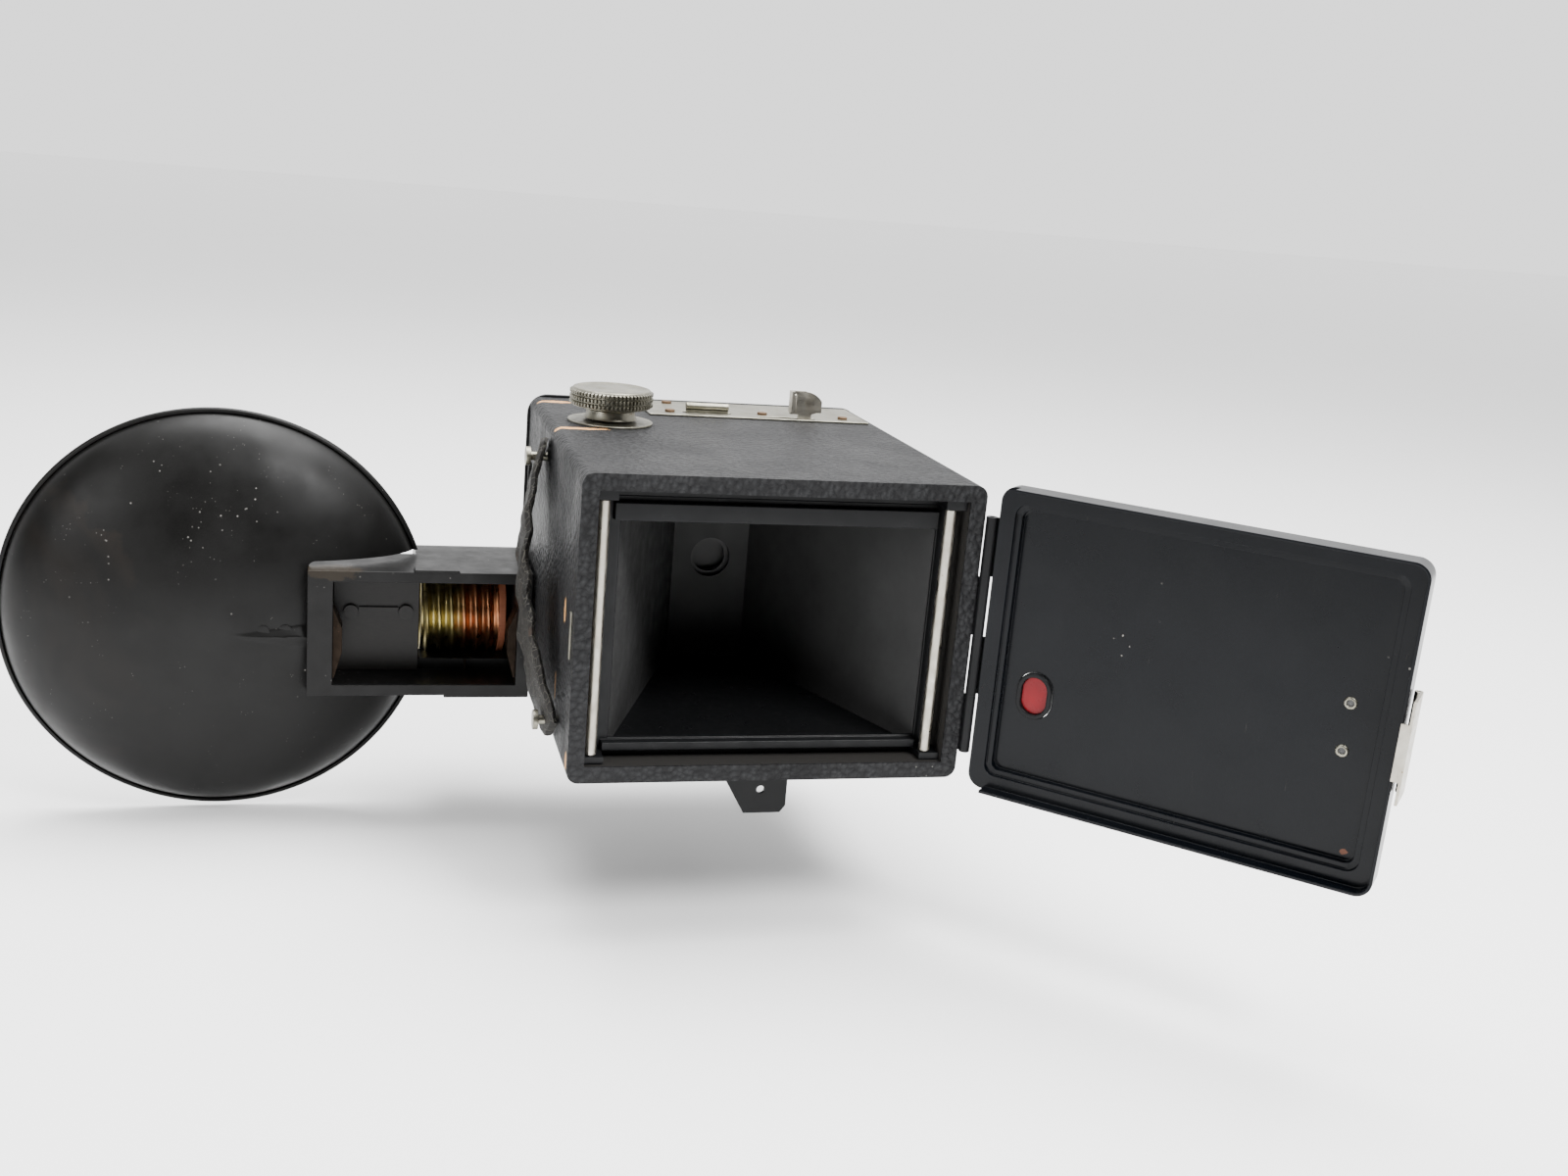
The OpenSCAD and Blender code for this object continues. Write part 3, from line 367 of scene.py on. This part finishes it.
def bakelite():
    colour = (0.0035, 0.0034, 0.0034)
    s = Shade("bakelite", colour, 0.34, Specular_IOR_Level=0.16)
    broad = s.noise(45, 4)
    residue = s.near((GUN_LO.x + 6, GUN_LO.y + 2, GUN_HI.z), (9, 6, 3.4), 500, 0.7)
    dust = s.specks(560, 0.14, 0.05)
    tone = s.mix(s.ramp(broad, 0.35, 0.75, 0, 0.5), colour, (0.007, 0.0067, 0.0064))
    tone = s.mix(dust, tone, (0.1, 0.095, 0.09))
    tone = s.mix(s.math("MULTIPLY", residue, 0.4), tone, (0.035, 0.025, 0.014))
    s.colour(tone)
    s.rough(s.ramp(s.noise(130, 5), 0.3, 0.7, 0.26, 0.46))
    s.bump(s.noise(380, 4), 0.03, 0.7)


def socket_brass():
    """Brass that is greener towards the opening and redder towards the housing, with a wandering border."""
    s = Shade("socket_brass", (0.72, 0.5, 0.2), 0.3, 1.0)
    split = s.tree.nodes.new("ShaderNodeSeparateXYZ")
    s.link(s.coords, split.inputs[0])
    middle = (SHELL_LO.x + SHELL_HI.x) / 2 * MM
    wander = s.math("MULTIPLY", s.math("SUBTRACT", s.noise(300, 3), 0.5), 4 * MM)
    along = s.ramp(s.math("ADD", split.outputs["X"], wander), middle - 1.5 * MM, middle + 1.5 * MM)
    tone = s.mix(along, (0.36, 0.3, 0.12), (0.42, 0.17, 0.08))
    tone = s.mix(s.ramp(s.noise(160, 3), 0.42, 0.7, 0, 0.7), tone, (0.1, 0.062, 0.035))
    s.colour(tone)
    s.rough(s.ramp(s.noise(500, 4), 0.3, 0.7, 0.26, 0.42))


def strap_leather():
    s = Shade("strap_leather", (0.03, 0.028, 0.025), 0.6, Specular_IOR_Level=0.2)
    cracks = s.cells(420, "DISTANCE_TO_EDGE", vector=s.stretched(1, 1.6, 1))
    broad = s.noise(90, 4)
    tone = s.mix(s.ramp(broad, 0.3, 0.7), (0.007, 0.0068, 0.0065), (0.022, 0.02, 0.018))
    tone = s.mix(s.ramp(cracks, 0.05, 0.0, 0, 0.8), tone, (0.1, 0.095, 0.08))
    tone = s.mix(s.ramp(s.noise(45, 3), 0.64, 0.72, 0, 0.7), tone, (0.085, 0.05, 0.033))
    s.colour(tone)
    s.rough(s.ramp(broad, 0.3, 0.7, 0.55, 0.8))
    s.bump(s.math("ADD", s.ramp(cracks, 0.0, 0.12), s.math("MULTIPLY", s.noise(1400, 4), 0.4)), 0.16, 0.9)


def fibre(name, a, b, rough):
    s = Shade(name, a, rough, Specular_IOR_Level=0.2)
    s.colour(s.mix(s.noise(500, 5, vector=s.stretched(1, 1, 5)), a, b))
    s.bump(s.noise(1100, 4), 0.04, 0.6)


def clear_glass(name, colour, rough, transmission):
    s = Shade(name, colour, rough, 0.0, Transmission_Weight=transmission, IOR=1.5)
    s.rough(s.ramp(s.noise(200, 3), 0.3, 0.7, rough, rough + 0.04))


def red_celluloid():
    s = Shade("red_celluloid", (0.3, 0.01, 0.02), 0.3, Specular_IOR_Level=0.2)
    s.colour(s.mix(s.noise(300, 3), (0.15, 0.003, 0.006), (0.23, 0.006, 0.011)))
    s.rough(s.ramp(s.noise(600, 3), 0.3, 0.7, 0.24, 0.42))


# Places where the covering has worn through to the card: centre and half sizes, in mm
TOP_Z = BODY_HI.z
WORN = [
    ((-46.5, -9.5, TOP_Z), (5.4, 1.8, 2)),
    ((-46, -54.5, TOP_Z), (8.2, 1.5, 2)),
    ((BODY_LO.x, -98, 2.5), (2, 1.3, 3.2)),
    ((BODY_LO.x, -87, -21), (2, 1.2, 4)),
    ((BODY_LO.x, BODY_LO.y + 3, BODY_LO.z + 5), (1.6, 1.4, 2.4)),
]

# The spot where rust comes through the door's enamel: centre and half sizes, in mm
DOOR_RUST = [((125.2, -182.6, -31), (0.9, 0.9, 0.7))]

leather_grain()
case_card()
enamel("black_enamel", (0.004, 0.0042, 0.0046), 0.34)
enamel("door_enamel", (0.0016, 0.0022, 0.0034), 0.22, 0.3, rust=DOOR_RUST)
reflector_paint()
lacquer("matt_black_metal", (0.07, 0.07, 0.07), 0.5)
lacquer("carrier_black", (0.005, 0.0052, 0.0056), 0.34)
lacquer("cone_black", (0.03, 0.03, 0.03), 0.5)
metal("aged_nickel", (0.28, 0.27, 0.225), 0.38, (0.13, 0.12, 0.085), 0.8)
metal("bright_nickel", (0.46, 0.44, 0.385), 0.36, (0.28, 0.24, 0.175), 0.6)
metal("rusty_steel", (0.2, 0.13, 0.08), 0.55, (0.1, 0.06, 0.035), 0.8)
metal("brass", (0.6, 0.43, 0.18), 0.34, (0.28, 0.18, 0.07), 0.6)
metal("contact_bronze", (0.022, 0.016, 0.012), 0.5, (0.012, 0.009, 0.007), 0.7, spots=(0.05, 0.03, 0.02))
metal("mirror", (0.8, 0.82, 0.84), 0.12, (0.5, 0.5, 0.48), 0.2)
socket_brass()
bakelite()
strap_leather()
fibre("fibre_plate", (0.005, 0.0045, 0.0043), (0.012, 0.011, 0.01), 0.4)
fibre("red_fibre", (0.16, 0.05, 0.025), (0.28, 0.1, 0.05), 0.6)
clear_glass("lens_glass", (0.9, 0.93, 0.95), 0.03, 1.0)
clear_glass("ground_glass", (0.75, 0.78, 0.76), 0.45, 0.8)
red_celluloid()

for node_name, node_object in NODES.items():
    node_object.data.materials.clear()
    node_object.data.materials.append(MATERIALS[slot_of(node_name)])


# ---------------------------------------------------------------- camera
VIEW_LENS = 36.864                          # mm, on a sensor 36 mm wide
VIEW_TURN = (-16.13, -14.78, 5.10)          # yaw, pitch and roll, in degrees
VIEW_PLACE = (-108.97, -489.83, 117.0)      # mm, in front of the open back and a little above it


def photo_camera():
    """The camera at rest, which looks into the open back from the left."""
    data = bpy.data.cameras.new("view")
    data.sensor_width = 36
    data.lens = VIEW_LENS
    data.clip_start = 0.01
    cam = bpy.data.objects.new("view", data)
    bpy.context.scene.collection.objects.link(cam)
    yaw, pitch, roll = (math.radians(a) for a in VIEW_TURN)
    aim = Matrix.Rotation(yaw, 4, "Z") @ Matrix.Rotation(math.pi / 2 + pitch, 4, "X")
    cam.matrix_world = Matrix.Translation(Vector(VIEW_PLACE) * MM) @ aim @ Matrix.Rotation(roll, 4, "Z")
    bpy.context.scene.camera = cam


def area(name, place, target, size, power):
    """A white rectangular lamp at a place, turned to a target; places and sizes in mm, power in W."""
    data = bpy.data.lights.new(name, "AREA")
    data.shape = "RECTANGLE"
    data.size, data.size_y = (s * MM for s in size)
    data.energy = power
    lamp = bpy.data.objects.new(name, data)
    bpy.context.scene.collection.objects.link(lamp)
    place, target = Vector(place) * MM, Vector(target) * MM
    aim = (target - place).to_track_quat("-Z", "Y").to_matrix().to_4x4()
    lamp.matrix_world = Matrix.Translation(place) @ aim


def studio():
    """White surroundings, three lamps, a plain floor and two dark panels that only reflections show."""
    world = bpy.data.worlds.new("studio")
    world.use_nodes = True
    world.node_tree.nodes["Background"].inputs["Color"].default_value = (1, 1, 1, 1)
    world.node_tree.nodes["Background"].inputs["Strength"].default_value = 1.7
    bpy.context.scene.world = world
    area("overhead", (60, 60, 900), (0, -60, 0), (900, 700), 30)
    area("right_top", (260, -560, 620), (-60, -80, 0), (260, 260), 9)
    area("left_low", (-620, -420, 260), (-60, -60, 0), (300, 300), 2)
    bpy.ops.mesh.primitive_plane_add(size=12, location=(0, 0, (BOWL_LO.z - 1.5) * MM))
    floor = bpy.context.object
    floor.name = "floor"
    s = Shade("floor", (0.9, 0.9, 0.9), 0.8)
    s.colour(s.mix(s.noise(3, 2), (0.93, 0.93, 0.93), (0.95, 0.95, 0.95)))
    floor.data.materials.append(s.mat)
    # the dark sides of the studio, behind the camera and left of it, which the enamel mirrors
    dark = Shade("dark_side", (0.02, 0.02, 0.02), 0.9)
    dark.colour(dark.mix(dark.noise(3, 2), (0.018, 0.018, 0.018), (0.022, 0.022, 0.022)))
    for name, place, turn, size in (("dark_back", (-0.2, -1.7, 0.9), (math.pi / 2, 0, 0), 5),
                                    ("dark_left", (-2.3, -0.6, 0.9), (0, math.pi / 2, 0), 3)):
        bpy.ops.mesh.primitive_plane_add(size=size, location=place, rotation=turn)
        wall = bpy.context.object
        wall.name = name
        wall.data.materials.append(dark.mat)
        wall.visible_camera = False


photo_camera()
studio()


# ---------------------------------------------------------------- reflector
def reflector():
    """A spun bowl with a rolled rim and a rounded notch round the housing."""
    bead = 0.9
    rim_r = (BOWL_HI.z - BOWL_LO.z) / 2 - bead
    cx = BOWL_LO.x + rim_r + bead
    bowl_axis, depth, sheet = rim_r + 0.2, 24.0, 0.8
    vertex = BOWL_LO.y

    def wall(r):
        return vertex + depth * (1 - math.sqrt(max(0.0, 1 - (r / bowl_axis) ** 2)))

    steps = 44
    radii = [(rim_r - 0.4) * math.sin(math.pi / 2 * i / steps) for i in range(1, steps + 1)]
    outer = [(r, wall(r)) for r in radii]
    rolled = [(rim_r + 0.1 + math.cos(a), outer[-1][1] + 0.4 + math.sin(a))
              for a in [math.radians(-100 + 26 * k) for k in range(11)]]
    inner = [(r - 0.05, wall(r) + sheet) for r in reversed(radii)]
    profile = [(0.02, vertex)] + outer + rolled + inner + [(0.02, vertex + sheet)]
    bm = revolve(profile, "Y", (cx, 0, GUN_Z), 288)
    notch_x = GUN_LO.x - 0.05
    dart_l = 19
    for v in bm.verts:
        # pressed dart that runs to the notch
        run = (v.co.x - (notch_x - dart_l)) / dart_l
        if 0 < run < 1.6:
            half = 0.8 + 2.4 * min(run, 1)
            off = abs(v.co.z - (GUN_Z - 1.6)) / half
            if off < 1:
                v.co.y -= 2.0 * min(run, 1) * (1 - off)
        # hand-dented unevenness
        v.co.y += 0.35 * noise.noise(v.co * 0.035) + 0.12 * noise.noise(v.co * 0.11)
    cutter = bmesh.new()
    bmesh.ops.create_cube(cutter, size=1)
    length, height = 80, GUN_HI.z - GUN_LO.z + 1.2
    centre_z = (GUN_HI.z + GUN_LO.z) / 2 - 0.2
    bmesh.ops.transform(cutter, matrix=Matrix.Translation((notch_x + length / 2, -20, centre_z))
                        @ Matrix.Diagonal((length, 90, height, 1)), verts=cutter.verts)
    corners = [e for e in cutter.edges
               if abs(e.verts[0].co.y - e.verts[1].co.y) > 1 and e.verts[0].co.x < notch_x + 1]
    bmesh.ops.bevel(cutter, geom=corners, offset=2.0, segments=6, profile=0.5, affect="EDGES")
    mesh = bpy.data.meshes.new("notch_cutter")
    cutter.to_mesh(mesh)
    cutter.free()
    tool = bpy.data.objects.new("notch_cutter", mesh)
    bpy.context.scene.collection.objects.link(tool)
    work = bpy.data.meshes.new("bowl_work")
    bmesh.ops.recalc_face_normals(bm, faces=bm.faces)
    bm.to_mesh(work)
    bm.free()
    bowl = bpy.data.objects.new("bowl_work", work)
    bpy.context.scene.collection.objects.link(bowl)
    cut = bowl.modifiers.new("cut", "BOOLEAN")
    cut.operation, cut.solver, cut.object = "DIFFERENCE", "EXACT", tool
    bpy.context.view_layer.update()
    done = bowl.evaluated_get(bpy.context.evaluated_depsgraph_get()).to_mesh()
    bm = bmesh.new()
    bm.from_mesh(done)
    bpy.data.objects.remove(bowl)
    bpy.data.objects.remove(tool)
    collect(bm, "reflector_look", "reflector_paint", "gun", ("reflector",))


reflector()


# ---------------------------------------------------------------- socket shell
def socket_shell():
    """Thin brass shell with a rolled screw thread."""
    pitch, sheet = 3.63, 0.45
    crest = (SHELL_HI.z - SHELL_LO.z) / 2
    length = SHELL_HI.x - SHELL_LO.x
    around, along = 144, 110
    bm = bmesh.new()

    def wave(x, a):
        edge = min(1, x / 1.6, (length - x) / 1.6)
        return crest - 0.75 + 0.75 * edge * math.cos(2 * math.pi * x / pitch - a)

    layers = []
    for inset in (0, sheet):
        grid = []
        for i in range(along + 1):
            x = length * i / along
            row = []
            for j in range(around):
                a = 2 * math.pi * j / around
                r = wave(x, a) - inset
                row.append(bm.verts.new((SHELL_LO.x + x, AXIS_Y + r * math.cos(a), GUN_Z + r * math.sin(a))))
            grid.append(row)
        layers.append(grid)
    for grid in layers:
        for i in range(along):
            for j in range(around):
                k = (j + 1) % around
                bm.faces.new((grid[i][j], grid[i][k], grid[i + 1][k], grid[i + 1][j]))
    for i in (0, along):
        for j in range(around):
            k = (j + 1) % around
            bm.faces.new((layers[0][i][j], layers[0][i][k], layers[1][i][k], layers[1][i][j]))
    collect(bm, "socket_shell_look", "socket_brass", "gun", ("socket_shell",), 60)


socket_shell()


# ---------------------------------------------------------------- knob
def winding_knob():
    """Turned knob: bearing neck, domed cap, and three rows of square teeth."""
    r = (KNOB_HI.x - KNOB_LO.x) / 2
    top = KNOB_HI.z
    head_h, teeth, rows = 5.4, 64, 3
    head = top - head_h
    row_h = (head_h - 0.9) / rows
    bm = revolve([(0.05, KNOB_LO.z), (6.9, KNOB_LO.z), (7.6, KNOB_LO.z + 0.4), (7.0, KNOB_LO.z + 1.2),
                  (6.8, head - 0.9), (7.6, head - 0.25), (r - 1.5, head), (r - 0.75, head + 0.2),
                  (r - 0.75, top - 0.5), (r - 1.0, top - 0.2), (r - 1.7, top - 0.02), (r - 2.1, top - 0.1),
                  (r - 2.6, top - 0.3), (4.6, top - 0.16), (0.05, top - 0.12)], "Z", (KNOB_X, KNOB_Y, 0), 96)
    for row in range(rows):
        z0 = head + 0.35 + row * row_h
        for i in range(teeth):
            a0 = 2 * math.pi * i / teeth
            step = 2 * math.pi / teeth
            base, tip = [], []
            for ring, depth, side, end in ((base, 0.8, 0.08, 0.06), (tip, 0.02, 0.3, 0.4)):
                for da, dz in ((side, end), (1 - side, end), (1 - side, row_h - end), (side, row_h - end)):
                    a = a0 + da * step
                    ring.append(bm.verts.new((KNOB_X + (r - depth) * math.cos(a),
                                              KNOB_Y + (r - depth) * math.sin(a), z0 + dz)))
            bm.faces.new(tip)
            bm.faces.new(list(reversed(base)))
            for j in range(4):
                k = (j + 1) % 4
                bm.faces.new((base[j], base[k], tip[k], tip[j]))
    collect(bm, "winding_knob_look", "aged_nickel", "knob", ("winding_knob",))


winding_knob()


# ---------------------------------------------------------------- eyelets
DOOR_OPEN = math.radians(136)   # how far the door stands open in the frame


def eyelets():
    """The two tubular rivets of the latch, with their rolled rings, on the inner face of the door."""
    mesh = NODES["latch_rivets"].data
    spots = {}
    apart = 5
    for v in mesh.vertices:
        near = next((k for k in spots if abs(k - v.co.z / MM) < apart), None)
        spots.setdefault(v.co.z / MM if near is None else near, []).append(v.co / MM)
    facing = Vector((-math.sin(DOOR_OPEN), math.cos(DOOR_OPEN), 0))
    turn = facing.to_track_quat("Z", "Y").to_matrix().to_4x4()
    ring = [(0.85, -0.5), (0.8, -0.2), (0.95, -0.02), (1.15, 0.0), (1.42, -0.12), (1.6, -0.4), (1.6, -0.7)]
    hollow = [(0.02, -0.45), (0.84, -0.45)]
    for number, verts in enumerate(spots.values()):
        middle = sum(verts, Vector()) / len(verts)
        top = max(v.dot(facing) for v in verts)
        seat = middle + facing * (top - middle.dot(facing))
        bm = revolve(ring, "Z", (0, 0, 0), 40, closed=False)
        bm.transform(Matrix.Translation(seat) @ turn)
        collect(bm, "eyelet_%d" % number, "aged_nickel", "door", ("latch_rivets",))
        bm = revolve(hollow, "Z", (0, 0, 0), 32, closed=False)
        bm.transform(Matrix.Translation(seat) @ turn)
        collect(bm, "eyelet_bottom_%d" % number, "matt_black_metal", "door")


eyelets()


# ---------------------------------------------------------------- hinge barrel
def hinge_barrel():
    """The door's sheet rolled round the hinge pin, along the whole edge between the knuckles."""
    lo, hi = low("hinge_pin"), high("hinge_pin")
    x, y = (lo.x + hi.x) / 2, (lo.y + hi.y) / 2
    barrel_r, steps = 1.4, 60
    rings = [(barrel_r + 0.04 * noise.noise(Vector((k * 0.21, 0, 4))), lo.z + (hi.z - lo.z) * k / steps)
             for k in range(steps + 1)]
    bm = revolve([(0.02, lo.z)] + rings + [(0.02, hi.z)], "Z", (x, y, 0), 24, closed=False)
    collect(bm, "hinge_barrel", "black_enamel", "door")


hinge_barrel()


# ---------------------------------------------------------------- lever
def shutter_lever():
    """The finger end of the lever: a thick quarter disc with a flange turned back along one side."""
    lo, hi = low("shutter_lever"), high("shutter_lever")
    y0, y1 = hi.y - 1.35, hi.y - 0.05
    root = high("control_strip").z + 1.35
    outline = [(lo.x + 0.3, root), (lo.x + 0.1, hi.z - 1.1)]
    for k in range(11):
        a = math.radians(100 - 9.6 * k)
        outline.append((lo.x + 1.5 + (hi.x - lo.x - 1.6) * math.cos(a) if k else lo.x + 0.7,
                        root + 1.4 + (hi.z - root - 1.45) * math.sin(a)))
    outline += [(hi.x - 0.5, root + 1.0), (hi.x - 3.4, root)]
    bm = bmesh.new()
    front = [bm.verts.new((x, y0, z)) for x, z in outline]
    back = [bm.verts.new((x, y1, z)) for x, z in outline]
    bm.faces.new(front)
    bm.faces.new(list(reversed(back)))
    for i in range(len(outline)):
        j = (i + 1) % len(outline)
        bm.faces.new((front[i], back[i], back[j], front[j]))
    bmesh.ops.bevel(bm, geom=[e for e in bm.edges if e.calc_face_angle(0) > 0.8], offset=0.22, segments=3,
                    profile=0.5, affect="EDGES", clamp_overlap=True)
    flange = bmesh.ops.create_cube(bm, size=1)["verts"]
    place = Matrix.Translation((lo.x + 0.95, y0 - 0.75, (root + hi.z) / 2 + 0.1))
    bmesh.ops.transform(bm, verts=flange, matrix=place @ Matrix.Diagonal((1.5, 1.7, hi.z - root - 1.6, 1)))
    edges = list({e for v in flange for e in v.link_edges})
    bmesh.ops.bevel(bm, geom=edges, offset=0.45, segments=4, profile=0.5, affect="EDGES", clamp_overlap=True)
    collect(bm, "shutter_lever_head", "bright_nickel", "lever")


shutter_lever()


# ---------------------------------------------------------------- strap
def strap():
    """A dried, creased leather handle that bows off the side, pinched and twisted near its middle."""
    lo, hi = low("strap"), high("strap")
    tilt = math.radians(35)
    mid = (lo + hi) / 2
    half, width, thick = 40.6, 20.4, 2.0
    bow = (hi.x - lo.x) - thick - 0.5
    along, across = 110, 20
    bm = bmesh.new()
    skins = []
    for side in (0, 1):
        grid = []
        for i in range(along + 1):
            s = 2 * i / along - 1
            lift = bow * (1 - s * s)
            pinch = 1 - 0.2 * math.exp(-((s - 0.05) / 0.16) ** 2) - 0.35 * max(0, abs(s) - 0.93) / 0.07
            row = []
            for j in range(across + 1):
                v = 2 * j / across - 1
                edge = 0.5 * thick * max(0, (abs(v) - 0.86) / 0.14) ** 2
                crease = 0.5 * noise.noise(Vector((s * 5, v * 1.1, 3)))
                crease += 0.28 * noise.noise(Vector((s * 15, v * 2.5, 8)))
                ruck = 0.55 * math.sin(s * 21 + v * 1.6) * math.exp(-(s / 0.62) ** 2) * abs(v)
                out = max(lift + (crease + ruck) * (1 - s ** 6), 0)
                out = min(out, bow + 0.35)
                out += edge if side == 0 else thick - edge
                x = hi.x - 0.02 - out
                w = v * width / 2 * pinch + 0.7 * noise.noise(Vector((s * 4, 1, 5)))
                l = s * half
                y = mid.y + l * math.sin(tilt) + w * math.cos(tilt)
                z = mid.z + l * math.cos(tilt) - w * math.sin(tilt)
                row.append(bm.verts.new((max(x, lo.x), y, z)))
            grid.append(row)
        skins.append(grid)
    for grid in skins:
        for i in range(along):
            for j in range(across):
                bm.faces.new((grid[i][j], grid[i][j + 1], grid[i + 1][j + 1], grid[i + 1][j]))
    a, b = skins
    for i in range(along):
        for j in (0, across):
            bm.faces.new((a[i][j], a[i + 1][j], b[i + 1][j], b[i][j]))
    for j in range(across):
        for i in (0, along):
            bm.faces.new((a[i][j], a[i][j + 1], b[i][j + 1], b[i][j]))
    collect(bm, "strap_look", "strap_leather", "camera", ("strap",), 50)


strap()


# ---------------------------------------------------------------- eased copies of hard pieces
EASED = {   # the width of each rounding, in mm
    "gun_housing": 0.55, "front_plate": 0.4, "control_strip": 0.18, "stop_tab": 0.2,
    "gate_frame": 0.3, "lens_ring": 0.25, "window_ring": 0.25, "door_latch": 0.2,
    "stand_foot": 0.25, "foot_bracket": 0.2, "cell_plate": 0.25, "cell_rivets": 0.3, "cell_bar": 0.25,
    "battery_contacts": 0.12, "reflector_bracket": 0.2, "knob_bush": 0.15,
    "strap_studs": 0.3, "latch_catch": 0.1, "contact_prongs": 0.3, "socket_insulator": 0.25,
    "centre_contact": 0.25, "back_door": 0.4, "door_covering": 0.2, "red_window": 0.15,
}
for name, width in EASED.items():
    eased(name, width)
eased("bracket_rivets", 0.25, sink=0.95)     # heads hammered nearly flush with the bowl
